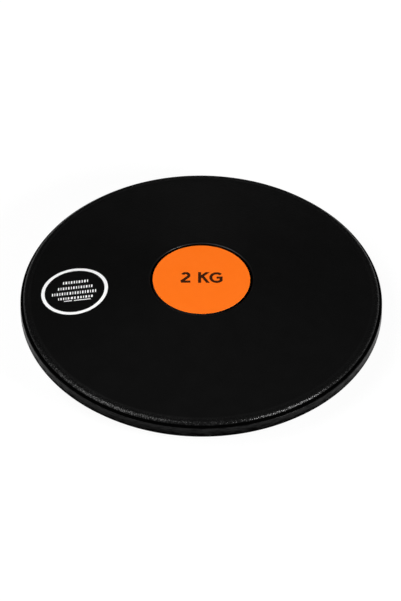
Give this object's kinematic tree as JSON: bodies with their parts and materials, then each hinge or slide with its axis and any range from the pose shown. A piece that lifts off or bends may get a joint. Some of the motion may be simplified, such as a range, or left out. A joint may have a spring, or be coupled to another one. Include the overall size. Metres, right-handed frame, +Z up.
{
  "type": "discus",
  "caption": "Throwing discus: tapered grained side shells, each with a flush round centre label, seated on a heavy steel rim ring and screwed to a steel hub.",
  "frame": {"origin": "centre of the lower side's flat, which the discus rests on", "axes": "+Z up through the centre of the discus, normal to its mid-plane; +X to the right of the printed weight as it is read; -Y towards its reader"},
  "size_m": [0.22, 0.22, 0.044],
  "materials": {
    "side_plastic": "satin",
    "rim_paint": "satin",
    "plain_steel": "satin",
    "label_orange": "satin",
    "print_dark": "satin",
    "print_white": "satin"
  },
  "bodies": {
    "root": {"rim_ring": "rim_paint", "hub_core": "plain_steel", "upper_side_shell": "side_plastic", "lower_side_shell": "side_plastic", "upper_centre_plate": "plain_steel", "lower_centre_plate": "plain_steel", "upper_centre_screw": "plain_steel", "lower_centre_screw": "plain_steel", "upper_label": "label_orange", "lower_label": "label_orange"}
  },
  "joints": []
}
